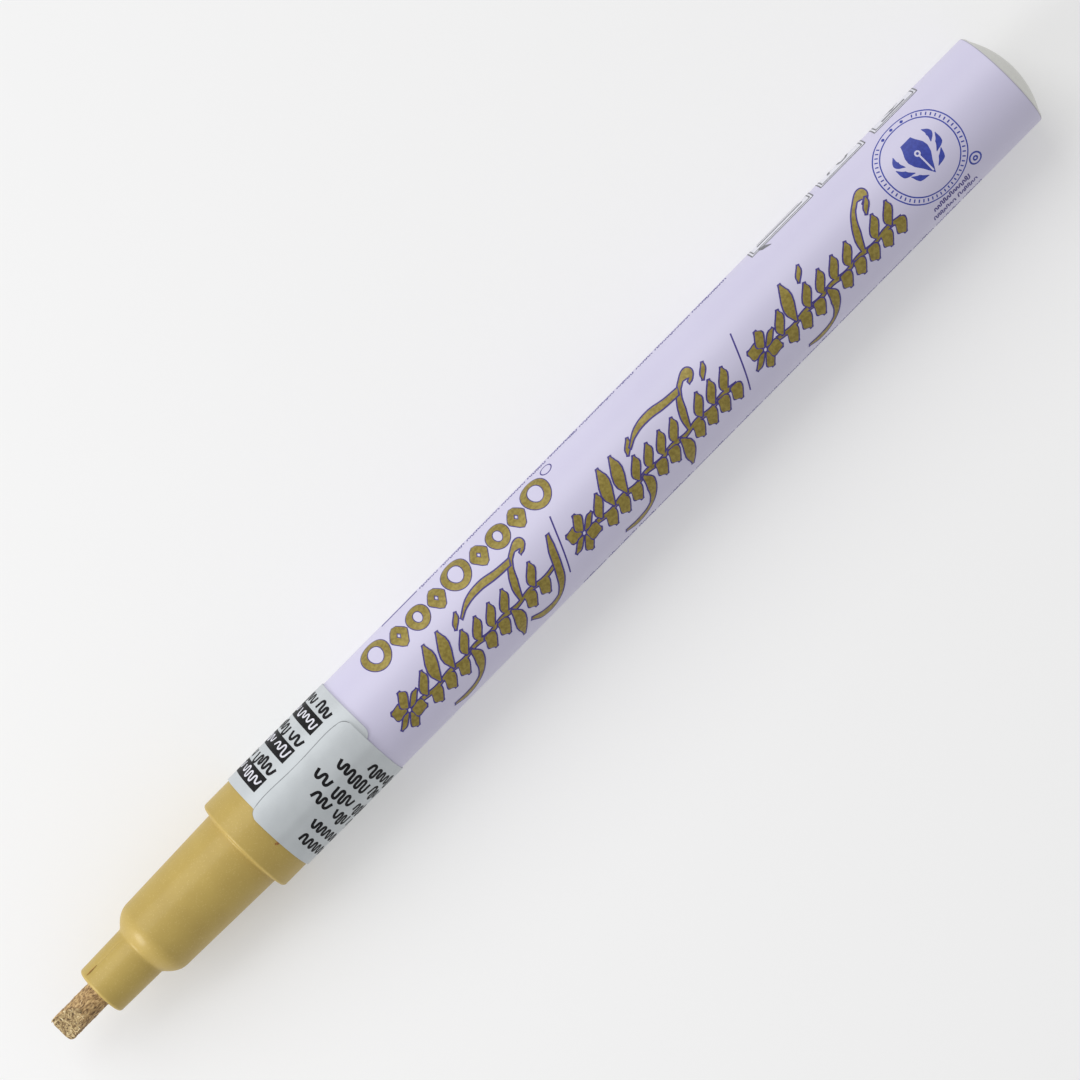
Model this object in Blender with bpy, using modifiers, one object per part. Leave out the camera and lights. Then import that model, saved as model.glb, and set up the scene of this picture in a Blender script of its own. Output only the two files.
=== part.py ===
"""Calligraphy paint marker, lying on its side with the nib towards -X.

Every round piece is turned about the local Z axis of one empty, which lies along world +X.
Heights along that axis are counted from the nib's tip. The rest pose is the nib let out.
"""
import math

import bmesh
import bpy
from mathutils import Matrix, Vector

mm = 0.001
clear = 0.05 * mm  # between pieces that touch or are pressed together
running = 0.06 * mm  # radial, between a sliding piece and its bore

outer_facets = 48
inner_facets = 24

# the barrel: a thin aluminium tube, drawn closed at the tail
overall_length = 136.0 * mm
barrel_radius = 5.75 * mm
barrel_wall = 0.5 * mm
dome_height = 1.55 * mm
dome_corner = 0.4 * mm
dome_wall = 0.6 * mm

# the front section: snout, shoulder, grip and collar in one moulding
snout_front = 5.57 * mm
snout_length = 5.93 * mm
snout_radius = 2.88 * mm
snout_flare = 0.11 * mm
snout_edge = 0.37 * mm
shoulder_length = 2.3 * mm
shoulder_radius = 4.33 * mm
grip_length = 12.3 * mm
grip_flare = 0.32 * mm
collar_length = 4.3 * mm
collar_step = 0.05 * mm  # how far the collar lies below the barrel's wall
collar_edge = 0.35 * mm
root_fillet = 0.25 * mm
spigot_length = 6.6 * mm
section_wall = 1.0 * mm

# the label wrapped over the joint between section and barrel
label_thickness = 0.12 * mm
label_width = 13.5 * mm
label_overhang = 0.5 * mm  # how far it reaches over the collar
flap_shift = 0.7 * mm
flap_start = math.radians(-13.0)
flap_end = math.radians(18.8)

# the nib
nib_radius = 1.5 * mm
nib_length = 24.2 * mm
chisel_length = 3.1 * mm
chisel_thickness = 0.7 * mm
chisel_corner = 0.35 * mm
nib_travel = 1.8 * mm

# the valve behind the nib
housing_wall = 1.15 * mm
housing_reach = 4.9 * mm  # how far it stands out behind the section
housing_flange = 1.0 * mm
flange_depth = 1.0 * mm
seat_thickness = 1.7 * mm
seat_hole_radius = 1.25 * mm
stem_radius = 0.75 * mm
stem_head_radius = 1.9 * mm
stem_head_thickness = 0.9 * mm
stem_tail = 0.3 * mm  # what shows behind the retainer
seal_thickness = 0.8 * mm
retainer_thickness = 1.1 * mm
retainer_rim = 0.4 * mm
feed_hole_radius = 0.4 * mm
feed_hole_count = 6
spring_wire = 0.2 * mm
spring_mean_radius = 1.35 * mm
spring_turns = 8
spring_dead_turns = 1.0

ring_width = 1.2 * mm
ring_depth = 0.5 * mm
ball_radius = 2.4 * mm

# places that follow from the sizes
shoulder_front = snout_front + snout_length
grip_front = shoulder_front + shoulder_length
collar_front = grip_front + grip_length
collar_back = collar_front + collar_length
spigot_back = collar_back + spigot_length
barrel_mouth = collar_back + clear
barrel_bore = barrel_radius - barrel_wall
collar_radius = barrel_radius - collar_step
spigot_radius = barrel_bore - clear
label_radius = barrel_radius + clear / 2 + label_thickness
flap_radius = label_radius + label_thickness
axis_height = label_radius * math.cos(math.pi / outer_facets)

nib_bore = nib_radius + running
chamber_radius = shoulder_radius - section_wall - 2 * clear
pocket_radius = spigot_radius - section_wall - 6 * clear
pocket_front = collar_front + section_wall * 0.7
housing_front = pocket_front + clear
housing_radius = pocket_radius - clear
housing_bore = housing_radius - housing_wall
flange_radius = housing_radius + housing_flange
flange_front = spigot_back + clear
housing_back = spigot_back + housing_reach
seat_face = housing_front + seat_thickness
seal_front = seat_face + clear
head_front = seal_front + seal_thickness + clear
head_back = head_front + stem_head_thickness
retainer_back = housing_back - retainer_rim
retainer_front = retainer_back - retainer_thickness
retainer_radius = housing_bore + retainer_rim

# the outline of the section's shoulder: how far back, how much of the rise
shoulder_shape = ((0.13, 0.21), (0.35, 0.50), (0.57, 0.755), (0.78, 0.915))


def material(name, red, green, blue, roughness, metallic=0.0):
    made = bpy.data.materials.new(name)
    made.use_nodes = True
    shader = made.node_tree.nodes["Principled BSDF"]
    shader.inputs["Base Color"].default_value = (red, green, blue, 1.0)
    shader.inputs["Roughness"].default_value = roughness
    shader.inputs["Metallic"].default_value = metallic
    made.diffuse_color = (red, green, blue, 1.0)
    return made


def collection(name):
    made = bpy.data.collections.new(name)
    bpy.context.scene.collection.children.link(made)
    return made


def place(name, data, parent, height=0.0, look=None):
    """An object on the parent's axis, at a height along it."""
    made = bpy.data.objects.new(name, data)
    made.parent = parent
    made.location = (0.0, 0.0, height)
    if look:
        data.materials.append(look)
    return made


def arc(radius, height, size, start, end, steps=4):
    """Outline points (radius, height) round a centre, from one angle in degrees to another."""
    points = []
    for step in range(steps + 1):
        angle = math.radians(start + (end - start) * step / steps)
        points.append((radius + size * math.cos(angle), height + size * math.sin(angle)))
    return points


def turned(name, outline, parent, look, facets=outer_facets, hollow=False, height=0.0):
    """A solid of revolution. The outline runs tail to nose down the outside, then back inside."""
    mesh = bpy.data.meshes.new(name)
    shape = bmesh.new()
    lean = math.pi / facets  # puts a flat facet, not an edge, underneath
    corners = []
    for radius, along in outline:
        spot = (radius * math.cos(lean), radius * math.sin(lean), along - height)
        corners.append(shape.verts.new(spot))
    pairs = list(zip(corners, corners[1:]))
    if hollow:
        pairs.append((corners[-1], corners[0]))
    for first, second in pairs:
        shape.edges.new((first, second))
    shape.to_mesh(mesh)
    shape.free()
    made = place(name, mesh, parent, height, look)
    screw = made.modifiers.new("turn", "SCREW")
    screw.steps = facets
    screw.render_steps = facets
    screw.use_merge_vertices = True
    screw.merge_threshold = 0.00001
    screw.use_smooth_shade = True
    return made


def cut(target, cutter, operation="DIFFERENCE"):
    boolean = target.modifiers.new(cutter.name, "BOOLEAN")
    boolean.operation = operation
    boolean.object = cutter


def hide_cutter(cutter):
    cutter.hide_render = True
    cutter.display_type = "WIRE"


def barrel_outline():
    """Outside from the dome's middle to the mouth, then the inside back to the middle."""
    edge = barrel_radius - dome_corner
    sphere = (edge ** 2 + dome_height ** 2) / (2 * dome_height)
    centre = overall_length - sphere
    slope = math.degrees(math.asin(edge / sphere))
    corner_height = overall_length - dome_height - dome_corner * math.cos(math.radians(slope))
    outside = arc(0.0, centre, sphere, 90.0, 90.0 - slope, 5)
    outside[0] = (0.0, overall_length)
    outside += arc(edge, corner_height, dome_corner, 90.0 - slope, 0.0)[1:]
    outside.append((barrel_radius, barrel_mouth))
    inner_sphere = sphere - dome_wall
    inner_slope = math.degrees(math.asin((barrel_bore - dome_corner) / inner_sphere))
    inside = [(barrel_bore, barrel_mouth), (barrel_bore, corner_height - dome_corner)]
    inside += arc(0.0, centre, inner_sphere, 90.0 - inner_slope, 90.0, 5)
    inside[-1] = (0.0, centre + inner_sphere)
    return outside + inside


def section_outline():
    """Collar, grip, shoulder and snout down the outside, then the bores back to the spigot."""
    snout_back_radius = snout_radius + snout_flare
    rise = shoulder_radius - snout_back_radius
    grip_back_radius = shoulder_radius + grip_flare
    groove_back = collar_back + spigot_length / 2 + ring_width / 2 + clear
    groove_front = groove_back - ring_width - 2 * clear
    groove_radius = spigot_radius - ring_depth
    points = [(spigot_radius, spigot_back)]
    points += [(spigot_radius, groove_back), (groove_radius, groove_back)]
    points += [(groove_radius, groove_front), (spigot_radius, groove_front)]
    points += [(spigot_radius, collar_back), (collar_radius, collar_back)]
    points += arc(collar_radius - collar_edge, collar_front + collar_edge, collar_edge, 0.0, -90.0)
    root = arc(grip_back_radius + root_fillet, collar_front - root_fillet, root_fillet, 90.0, 180.0, 3)
    points += root + [(shoulder_radius, grip_front)]
    for back, share in reversed(shoulder_shape):
        points.append((snout_back_radius + rise * share, shoulder_front + shoulder_length * back))
    points.append((snout_back_radius, shoulder_front))
    points += arc(snout_radius - snout_edge, snout_front + snout_edge, snout_edge, 0.0, -90.0, 5)
    points += [(nib_bore, snout_front), (nib_bore, grip_front - section_wall / 2)]
    points += [(chamber_radius, grip_front + section_wall), (chamber_radius, pocket_front - section_wall)]
    points += [(pocket_radius - section_wall / 2, pocket_front), (pocket_radius, pocket_front)]
    points.append((pocket_radius, spigot_back))
    return points


def housing_outline():
    counterbore = retainer_front - clear
    return [
        (housing_radius, housing_back),
        (housing_radius, flange_front + flange_depth),
        (flange_radius, flange_front + flange_depth),
        (flange_radius, flange_front),
        (housing_radius, flange_front),
        (housing_radius, housing_front),
        (seat_hole_radius, housing_front),
        (seat_hole_radius, seat_face),
        (housing_bore, seat_face),
        (housing_bore, counterbore),
        (retainer_radius + clear, counterbore),
        (retainer_radius + clear, retainer_back + clear),
        (housing_bore + clear, housing_back),
    ]


def stem_outline():
    """Solid rod: the tail that runs in the retainer, the head, and the rod that meets the nib."""
    front = nib_length + 2 * clear
    back = retainer_back + stem_tail
    guide = stem_radius - clear
    return [
        (0.0, back),
        (guide - clear, back),
        (guide, back - 2 * clear),
        (guide, head_back),
        (stem_head_radius, head_back),
        (stem_head_radius, head_front),
        (stem_radius, head_front),
        (stem_radius, front + 2 * clear),
        (stem_radius - 2 * clear, front),
        (0.0, front),
    ]


def tube_outline(inner, outer, front, back):
    return [(outer, back), (outer, front), (inner, front), (inner, back)]


def make_barrel(marker):
    lilac = material("lilac_lacquered_aluminium", 0.63, 0.61, 0.72, 0.38)
    return [turned("barrel_tube", barrel_outline(), marker, lilac)]


def make_label(marker, cutters):
    """A band round the joint, and the end of the strip lying over its start."""
    paper = material("grey_label_film", 0.58, 0.62, 0.64, 0.45)
    front = collar_back - label_overhang
    inner = barrel_radius + clear / 2
    band = turned(
        "wrap_label", tube_outline(inner, label_radius, front, front + label_width),
        marker, paper, hollow=True,
    )
    flap_front = front - flap_shift
    flap = turned(
        "label_flap", tube_outline(inner, flap_radius, flap_front, flap_front + label_width),
        marker, None, hollow=True,
    )
    hide_cutter(flap)
    wedge_mesh = bpy.data.meshes.new("flap_wedge")
    shape = bmesh.new()
    reach = 2 * flap_radius
    for height in (flap_front - mm, flap_front + label_width + mm):
        for across, side in ((0.0, 0.0), (-reach, reach * math.tan(flap_start)),
                             (-reach, reach * math.tan(flap_end))):
            shape.verts.new((across, side, height))
    bmesh.ops.convex_hull(shape, input=shape.verts)
    bmesh.ops.recalc_face_normals(shape, faces=shape.faces)
    shape.to_mesh(wedge_mesh)
    shape.free()
    wedge = place("flap_wedge", wedge_mesh, marker)
    hide_cutter(wedge)
    cut(flap, wedge, "INTERSECT")
    cut(band, flap, "UNION")
    for cutter in (flap, wedge):
        cutters.objects.link(cutter)
    return [band]


def make_section(marker):
    gold = material("gold_pearl_plastic", 0.46, 0.35, 0.14, 0.32)
    return [turned("grip_section", section_outline(), marker, gold, hollow=True)]


def make_nib(marker):
    """A felt rod with both faces of its tip sliced to a chisel and the chisel's ends rounded."""
    felt = material("brown_acrylic_felt", 0.42, 0.30, 0.14, 0.85)
    mesh = bpy.data.meshes.new("chisel_nib")
    shape = bmesh.new()
    bmesh.ops.create_cone(
        shape, cap_ends=True, segments=inner_facets, radius1=nib_radius, radius2=nib_radius,
        depth=nib_length,
        matrix=Matrix.Translation((0.0, 0.0, nib_length / 2))
        @ Matrix.Rotation(math.pi / inner_facets, 4, "Z"),
    )
    slope = math.atan2(nib_radius - chisel_thickness / 2, chisel_length)
    slices = []
    for side in (-1.0, 1.0):
        face = Vector((side * math.cos(slope), 0.0, -math.sin(slope)))
        slices.append((Vector((side * chisel_thickness / 2, 0.0, 0.0)), face))
        for angle in (25.0, 55.0):
            turn = math.radians(angle)
            reach = nib_radius - chisel_corner
            out = Vector((0.0, side * math.cos(turn), -math.sin(turn)))
            slices.append((Vector((0.0, side * reach, chisel_corner)) + out * chisel_corner, out))
    for spot, outward in slices:
        whole = shape.verts[:] + shape.edges[:] + shape.faces[:]
        sliced = bmesh.ops.bisect_plane(
            shape, geom=whole, plane_co=spot, plane_no=outward, clear_outer=True
        )
        rim = [part for part in sliced["geom_cut"] if isinstance(part, bmesh.types.BMEdge)]
        bmesh.ops.contextual_create(shape, geom=rim)
    bmesh.ops.recalc_face_normals(shape, faces=shape.faces)
    shape.to_mesh(mesh)
    shape.free()
    return [place("chisel_nib", mesh, marker, 0.0, felt)]


def make_feed(marker):
    felt = material("white_feed_felt", 0.72, 0.68, 0.58, 0.95)
    outline = tube_outline(
        nib_bore, chamber_radius - clear, grip_front + section_wall + clear,
        nib_length - nib_travel,
    )
    return [turned("feed_sleeve", outline, marker, felt, inner_facets, hollow=True)]


def make_valve(marker, cutters):
    natural = material("natural_acetal", 0.78, 0.77, 0.72, 0.45)
    black = material("black_rubber", 0.03, 0.03, 0.03, 0.7)
    steel = material("spring_steel", 0.55, 0.56, 0.58, 0.25, 1.0)
    housing = turned("valve_housing", housing_outline(), marker, natural, hollow=True)
    stem = turned("valve_stem", stem_outline(), marker, natural, inner_facets)
    seal = turned(
        "valve_seal", tube_outline(stem_radius + clear, stem_head_radius, seal_front,
                                   head_front - clear),
        marker, black, inner_facets, hollow=True,
    )
    retainer = turned(
        "spring_retainer", tube_outline(stem_radius + clear, retainer_radius, retainer_front,
                                        retainer_back),
        marker, natural, hollow=True,
    )
    hole_circle = (spring_mean_radius + spring_wire + retainer_radius) / 2 - clear
    for index in range(feed_hole_count):
        turn = math.tau * index / feed_hole_count
        mesh = bpy.data.meshes.new("feed_hole")
        shape = bmesh.new()
        bmesh.ops.create_cone(
            shape, cap_ends=True, segments=12, radius1=feed_hole_radius, radius2=feed_hole_radius,
            depth=retainer_thickness * 2,
        )
        shape.to_mesh(mesh)
        shape.free()
        drill = place(f"feed_hole_{index + 1}", mesh, marker)
        drill.location = (
            hole_circle * math.cos(turn), hole_circle * math.sin(turn),
            (retainer_front + retainer_back) / 2,
        )
        hide_cutter(drill)
        cutters.objects.link(drill)
        cut(retainer, drill)
    return [housing, stem, seal, retainer, make_spring(marker, steel)]


def make_spring(marker, steel):
    """A compression coil between the stem's head and the retainer, with one dead turn each end."""
    front = head_back + spring_wire + clear
    back = retainer_front - spring_wire - clear
    dead_pitch = 2 * spring_wire + clear
    live_turns = spring_turns - 2 * spring_dead_turns
    live_length = back - front - 2 * spring_dead_turns * dead_pitch
    curve = bpy.data.curves.new("valve_spring", "CURVE")
    curve.dimensions = "3D"
    curve.bevel_depth = spring_wire
    curve.bevel_resolution = 2
    curve.use_fill_caps = True
    path = curve.splines.new("POLY")
    steps = spring_turns * 16
    path.points.add(steps)
    for step, point in enumerate(path.points):
        turns = spring_turns * step / steps
        opening = min(turns, spring_dead_turns)
        closing = max(turns - spring_turns + spring_dead_turns, 0.0)
        live = turns - opening - closing
        height = front + (opening + closing) * dead_pitch + live_length * live / live_turns
        angle = math.tau * turns
        point.co = (
            spring_mean_radius * math.cos(angle), spring_mean_radius * math.sin(angle), height, 1.0
        )
    return place("valve_spring", curve, marker, 0.0, steel)


def make_seal_ring(marker):
    rubber = material("grey_nitrile_rubber", 0.08, 0.08, 0.09, 0.65)
    middle = collar_back + spigot_length / 2
    bead = ring_width / 4
    inner = spigot_radius - ring_depth + clear
    outer = barrel_bore - clear / 2
    outline = [(outer, middle + bead), (outer, middle - bead)]
    outline += [(outer - bead, middle - 2 * bead), (inner, middle - 2 * bead)]
    outline += [(inner, middle + 2 * bead), (outer - bead, middle + 2 * bead)]
    return [turned("barrel_seal_ring", outline, marker, rubber, hollow=True)]


def make_ball(marker):
    """The mixing ball, lying on the reservoir's wall against the closed end."""
    steel = material("polished_ball_steel", 0.62, 0.63, 0.65, 0.12, 1.0)
    mesh = bpy.data.meshes.new("mixing_ball")
    shape = bmesh.new()
    bmesh.ops.create_icosphere(shape, subdivisions=3, radius=ball_radius)
    for face in shape.faces:
        face.smooth = True
    shape.to_mesh(mesh)
    shape.free()
    ball = place("mixing_ball", mesh, marker, overall_length - 5.0 * mm, steel)
    lowest = barrel_bore * math.cos(math.pi / outer_facets)
    ball.location.x = lowest - ball_radius - clear  # local +X is down
    return [ball]


def build():
    for old in list(bpy.data.objects):
        bpy.data.objects.remove(old)
    parts = collection("calligraphy_marker")
    cutters = collection("cutters")
    marker = bpy.data.objects.new("marker_axis", None)
    marker.location = (-overall_length / 2, 0.0, axis_height)
    marker.rotation_euler = (0.0, math.pi / 2, 0.0)
    parts.objects.link(marker)
    pieces = make_barrel(marker) + make_label(marker, cutters) + make_section(marker)
    pieces += make_nib(marker) + make_feed(marker) + make_valve(marker, cutters)
    pieces += make_seal_ring(marker) + make_ball(marker)
    for piece in pieces:
        parts.objects.link(piece)


build()
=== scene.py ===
import math
import random
import bmesh
import bpy
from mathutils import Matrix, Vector, noise


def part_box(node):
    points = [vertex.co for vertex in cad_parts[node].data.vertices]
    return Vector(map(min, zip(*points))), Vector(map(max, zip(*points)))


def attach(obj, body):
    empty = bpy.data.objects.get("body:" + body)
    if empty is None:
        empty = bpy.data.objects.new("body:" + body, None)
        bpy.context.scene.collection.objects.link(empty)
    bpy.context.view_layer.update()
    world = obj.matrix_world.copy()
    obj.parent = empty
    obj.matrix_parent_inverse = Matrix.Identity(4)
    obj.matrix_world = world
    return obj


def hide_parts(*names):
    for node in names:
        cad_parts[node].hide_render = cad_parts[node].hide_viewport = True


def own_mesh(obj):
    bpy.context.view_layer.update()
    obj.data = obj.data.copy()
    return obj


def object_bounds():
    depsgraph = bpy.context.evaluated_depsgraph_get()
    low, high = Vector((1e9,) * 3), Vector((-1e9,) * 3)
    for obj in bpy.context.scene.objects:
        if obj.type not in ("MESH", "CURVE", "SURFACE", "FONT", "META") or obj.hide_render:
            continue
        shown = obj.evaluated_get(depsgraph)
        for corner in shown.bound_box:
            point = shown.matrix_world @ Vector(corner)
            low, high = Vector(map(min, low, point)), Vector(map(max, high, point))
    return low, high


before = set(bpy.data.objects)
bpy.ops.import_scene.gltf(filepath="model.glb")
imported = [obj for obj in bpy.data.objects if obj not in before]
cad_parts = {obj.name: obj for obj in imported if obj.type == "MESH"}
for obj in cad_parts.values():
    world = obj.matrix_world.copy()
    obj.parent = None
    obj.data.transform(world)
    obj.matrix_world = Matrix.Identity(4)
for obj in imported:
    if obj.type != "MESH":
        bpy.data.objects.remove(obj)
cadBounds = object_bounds()
print("frame loaded")

mm = 0.001
nibLow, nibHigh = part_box("chisel_nib")
barrelLow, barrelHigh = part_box("barrel_tube")
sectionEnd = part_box("grip_section")[1][0]
noseX = nibLow[0]  # every place along the marker is counted from the nib's tip
axisZ = (nibLow[2] + nibHigh[2]) / 2
barrelRadius = (barrelHigh[1] - barrelLow[1]) / 2
totalLength = barrelHigh[0] - noseX


def along(x):
    return (x - noseX) / mm  # a place on the X axis as millimetres from the nib's tip


def arc(centre, size, start, end, steps):
    # (along, radius) points in mm round a centre, angles in degrees from +X towards the outside
    points = []
    for step in range(steps + 1):
        angle = math.radians(start + (end - start) * step / steps)
        points.append((centre[0] + size * math.cos(angle), centre[1] + size * math.sin(angle)))
    return points


def linkObject(name, data):
    made = bpy.data.objects.new(name, data)
    bpy.context.scene.collection.objects.link(made)
    return made


def finishMesh(name, shape, materials, sharpAngle=32):
    # a bmesh becomes an object at the origin, smooth apart from its real edges
    if shape.calc_volume(signed=True) < 0:
        bmesh.ops.reverse_faces(shape, faces=shape.faces)
    mesh = bpy.data.meshes.new(name)
    shape.to_mesh(mesh)
    shape.free()
    mesh.shade_smooth()
    mesh.set_sharp_from_angle(angle=math.radians(sharpAngle))
    for material in materials:
        mesh.materials.append(material)
    return linkObject(name, mesh)


def lathe(name, outline, materials, segments=192, relief=None, slotAt=None):
    # turns a closed outline of (along, radius) in mm round the marker's axis
    shape = bmesh.new()
    rings = []
    for place, radius in outline:
        if radius < 1e-6:
            rings.append([shape.verts.new((noseX + place * mm, 0.0, axisZ))])
            continue
        ring = []
        for index in range(segments):
            angle = math.tau * index / segments
            reach = radius + (relief(place, radius, angle) if relief else 0.0)
            ring.append(shape.verts.new((
                noseX + place * mm, reach * mm * math.sin(angle), axisZ + reach * mm * math.cos(angle)
            )))
        rings.append(ring)
    for first, one in enumerate(rings):
        second = (first + 1) % len(rings)
        two = rings[second]
        if len(one) == 1 and len(two) == 1:
            continue  # from the outer pole to the inner one there is no wall
        middle = (outline[first][0] + outline[second][0]) / 2
        for index in range(segments):
            after = (index + 1) % segments
            if len(one) == 1:
                corners = (one[0], two[after], two[index])
            elif len(two) == 1:
                corners = (one[index], one[after], two[0])
            else:
                corners = (one[index], one[after], two[after], two[index])
            face = shape.faces.new(corners)
            if slotAt:
                face.material_index = slotAt(middle)
    return finishMesh(name, shape, materials)


def addNode(tree, kind, inputs=None, **settings):
    # one node, its settings, and its inputs: a number, a socket, or a node for its first output
    made = tree.nodes.new(kind)
    for key, value in settings.items():
        setattr(made, key, value)
    for key, value in (inputs or {}).items():
        if isinstance(value, bpy.types.Node):
            value = value.outputs[0]
        if isinstance(value, bpy.types.NodeSocket):
            tree.links.new(value, made.inputs[key])
        else:
            made.inputs[key].default_value = value
    return made


def linear(code):
    # an sRGB hex colour as the linear values that a shader takes
    channels = []
    for start in (1, 3, 5):
        value = int(code[start:start + 2], 16) / 255
        channels.append(value / 12.92 if value <= 0.04045 else ((value + 0.055) / 1.055) ** 2.4)
    return (*channels, 1.0)


def newMaterial(name, **values):
    # a Principled material: its plain numbers go straight on the shader's own sockets
    made = bpy.data.materials.new(name)
    made.use_nodes = True
    tree = made.node_tree
    shader = tree.nodes["Principled BSDF"]
    for key, value in values.items():
        shader.inputs[key.replace("_", " ")].default_value = value
    place = addNode(tree, "ShaderNodeTexCoord").outputs["Object"]
    return made, tree, shader, place


def makeFinish(name, tones, mottle=None, bumps=None, **values):
    # mottle: the size in mm and the detail of the pattern between two tones.
    # bumps: the same for the relief, then its strength and its depth in mm
    made, tree, shader, place = newMaterial(name, **values)
    shader.inputs["Base Color"].default_value = linear(tones[0])
    if mottle:
        cloud = addNode(tree, "ShaderNodeTexNoise", {
            "Vector": place, "Scale": 1 / (mottle[0] * mm), "Detail": mottle[1],
        })
        tone = addNode(tree, "ShaderNodeMix", {
            "Factor": cloud, "A": linear(tones[0]), "B": linear(tones[1]),
        }, data_type="RGBA")
        tree.links.new(tone.outputs["Result"], shader.inputs["Base Color"])
    if bumps:
        grain = addNode(tree, "ShaderNodeTexNoise", {
            "Vector": place, "Scale": 1 / (bumps[0] * mm), "Detail": bumps[1],
        })
        bump = addNode(tree, "ShaderNodeBump", {
            "Height": grain, "Strength": bumps[2], "Distance": bumps[3] * mm,
        })
        tree.links.new(bump.outputs["Normal"], shader.inputs["Normal"])
    return made


def makeBarrelLacquer():
    # satin lilac lacquer rolled on drawn aluminium: even, soft gloss with a faint orange peel
    return makeFinish(
        "lilacLacquer", ("#cbc7de", "#c5c1d9"), (9.0, 3.0), (0.6, 2.0, 0.04, 0.02),
        Roughness=0.48, Coat_Weight=0.15, Coat_Roughness=0.3,
    )


def makeLacquerEdge():
    # the lacquer's thin end, where the metal's grey shows through it
    return makeFinish("lacquerEdge", ("#aaa7b8",), bumps=(0.3, 3.0, 0.15, 0.02), Roughness=0.5)


def makeDomeMetal():
    # the drawn end is left without print: clear-coated aluminium, pale grey with a dull sheen
    return makeFinish(
        "clearCoatedAluminium", ("#dededa", "#cdcdc7"), (0.25, 4.0), Metallic=0.35, Roughness=0.5
    )


def makeLabelFilm():
    # metallised polypropylene film, glued on by hand: pale grey, its tone mottled darker as painted
    # reflection where it isn't quite flat
    return makeFinish(
        "metallisedFilm", ("#c4c9cc", "#b6bbbe"), (2.2, 3.0), (2.2, 3.0, 0.35, 0.1),
        Metallic=0.15, Roughness=0.45,
    )


def makePlain(name, code, grain, **values):
    # small inner pieces: moulded acetal, rubber or steel, each with a light surface grain
    return makeFinish(name, (code,), bumps=(grain, 3.0, 0.15, 0.02), **values)


def makeGoldPlastic():
    # polypropylene moulded with gold pearl: satin, with sparkling flakes and a slight flow texture.
    # real flakes are finer than 0.1 mm, which is as fine as still shows
    made, tree, shader, place = newMaterial(
        "goldPearlPolypropylene", Metallic=0.15, Roughness=0.6, Coat_Weight=0.25, Coat_Roughness=0.22
    )
    flakes = addNode(tree, "ShaderNodeTexVoronoi", {"Vector": place, "Scale": 1 / (0.1 * mm)})
    spark = addNode(tree, "ShaderNodeSeparateColor", {"Color": flakes.outputs["Color"]})
    bright = addNode(tree, "ShaderNodeMapRange", {
        "Value": spark.outputs["Red"], "From Min": 0.88, "From Max": 1.0, "To Min": 0.0, "To Max": 0.16,
    })
    flow = addNode(tree, "ShaderNodeTexNoise", {"Vector": place, "Scale": 1 / (3.5 * mm), "Detail": 4.0})
    body = addNode(tree, "ShaderNodeMix", {
        "Factor": flow, "A": linear("#baa153"), "B": linear("#a88f47"),
    }, data_type="RGBA")
    tone = addNode(tree, "ShaderNodeMix", {
        "Factor": bright, "A": body.outputs["Result"], "B": linear("#e0cc8c"),
    }, data_type="RGBA")
    fine = addNode(tree, "ShaderNodeTexNoise", {"Vector": place, "Scale": 1 / (0.3 * mm), "Detail": 3.0})
    bump = addNode(tree, "ShaderNodeBump", {"Height": fine, "Strength": 0.12, "Distance": 0.03 * mm})
    tree.links.new(tone.outputs["Result"], shader.inputs["Base Color"])
    tree.links.new(bump.outputs["Normal"], shader.inputs["Normal"])
    return made


def makeInk(name, light, dark, grain, roughness=0.5, **values):
    # printed ink: a thin even film with a fine speckle from its pigment, coarser than real so that it shows
    made, tree, shader, place = newMaterial(name, Roughness=roughness, **values)
    speckle = addNode(tree, "ShaderNodeTexNoise", {
        "Vector": place, "Scale": 1 / (grain * mm), "Detail": 2.0,
    })
    mix = addNode(tree, "ShaderNodeMapRange", {"Value": speckle, "From Min": 0.35, "From Max": 0.65})
    tone = addNode(tree, "ShaderNodeMix", {
        "Factor": mix, "A": linear(light), "B": linear(dark),
    }, data_type="RGBA")
    tree.links.new(tone.outputs["Result"], shader.inputs["Base Color"])
    return made


def makeFelt(name, pale, brown, dark, grain, stretch=1.0, bump=0.6):
    # bonded fibres: each strand has its own tone, and the darkest tone between them is painted shade in the
    # gaps.
    # They are drawn about ten times as coarse as real fibres, so that they show
    made, tree, shader, place = newMaterial(name, Roughness=0.7, Metallic=0.1)
    drawn = addNode(tree, "ShaderNodeMapping", {"Vector": place, "Scale": (1 / stretch, 1.0, 1.0)})
    cells = addNode(tree, "ShaderNodeTexNoise", {"Vector": drawn, "Scale": 1 / (grain * mm), "Detail": 3.0})
    ramp = addNode(tree, "ShaderNodeValToRGB", {"Fac": cells})
    # the darkest tone, at the ramp's low end, is painted shade in the gaps between strands
    ramp.color_ramp.elements[0].position = 0.34
    ramp.color_ramp.elements[0].color = linear(dark)
    ramp.color_ramp.elements[1].position = 0.66
    ramp.color_ramp.elements[1].color = linear(pale)
    ramp.color_ramp.elements.new(0.48).color = linear(brown)
    rough = addNode(tree, "ShaderNodeBump", {"Height": cells, "Strength": bump, "Distance": 0.06 * mm})
    tree.links.new(ramp.outputs["Color"], shader.inputs["Base Color"])
    tree.links.new(rough.outputs["Normal"], shader.inputs["Normal"])
    return made


barrelSizes = {
    "wall": 0.5, "domeHeight": 1.55, "corner": 0.4, "domeWall": 0.6, "mouthRound": 0.08,
    "lacquerEnd": 0.2, "metalStart": 0.42,  # how far over the corner, as shares of its radius
}


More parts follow.
